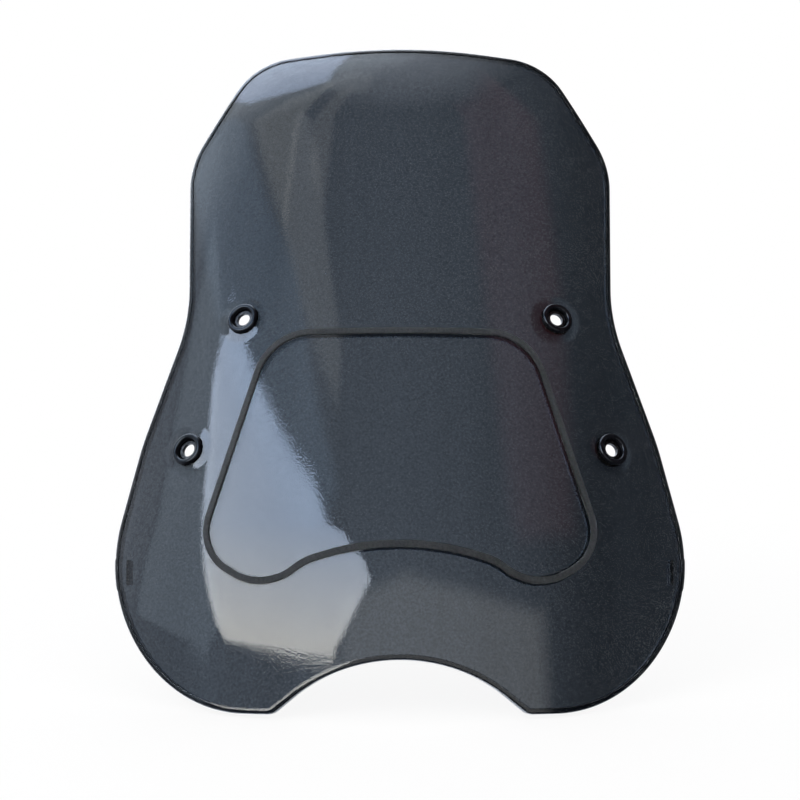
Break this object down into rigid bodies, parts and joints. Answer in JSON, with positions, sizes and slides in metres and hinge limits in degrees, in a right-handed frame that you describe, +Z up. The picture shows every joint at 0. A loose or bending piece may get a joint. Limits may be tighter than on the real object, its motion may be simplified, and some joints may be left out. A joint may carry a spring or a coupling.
{
  "type": "motorcycle windshield screen",
  "caption": "Smoke-tinted motorcycle windshield with a raised rim, an inner frame rib, an arched bottom notch and rubber-mounted screw sleeves.",
  "frame": {"origin": "the middle of the bounding box in X and Y, level with the bottom of the lower lobes", "axes": "+Z up, +X to the side, the outer front face towards -Y and the rider's side towards +Y, leaned back as it sits on the motorcycle"},
  "size_m": [0.374, 0.2112, 0.4547],
  "materials": {
    "screen": "polished smoke-tinted polycarbonate, see-through",
    "grommet_rubber": "satin moulded rubber",
    "sleeve_metal": "black-passivated turned steel, bright at the bore's edge"
  },
  "bodies": {
    "screen": {"screen_panel": "screen", "grommet_upper_left": "grommet_rubber", "grommet_upper_right": "grommet_rubber", "grommet_lower_left": "grommet_rubber", "grommet_lower_right": "grommet_rubber"},
    "sleeve_upper_left": {"sleeve_upper_left": "sleeve_metal"},
    "sleeve_upper_right": {"sleeve_upper_right": "sleeve_metal"},
    "sleeve_lower_left": {"sleeve_lower_left": "sleeve_metal"},
    "sleeve_lower_right": {"sleeve_lower_right": "sleeve_metal"}
  },
  "joints": [
    {"name": "sleeve_upper_left_turn", "type": "hinge", "parent": "screen", "child": "sleeve_upper_left", "pos_m": [-0.10654, 0.00112, 0.24191], "axis": [-0.3152, -0.8601, 0.4011], "continuous": true},
    {"name": "sleeve_upper_right_turn", "type": "hinge", "parent": "screen", "child": "sleeve_upper_right", "pos_m": [0.10654, 0.00112, 0.24191], "axis": [0.3152, -0.8601, 0.4011], "continuous": true},
    {"name": "sleeve_lower_left_turn", "type": "hinge", "parent": "screen", "child": "sleeve_lower_left", "pos_m": [-0.13889, -0.02591, 0.15393], "axis": [-0.414, -0.825, 0.3847], "continuous": true},
    {"name": "sleeve_lower_right_turn", "type": "hinge", "parent": "screen", "child": "sleeve_lower_right", "pos_m": [0.13889, -0.02591, 0.15393], "axis": [0.414, -0.825, 0.3847], "continuous": true}
  ]
}
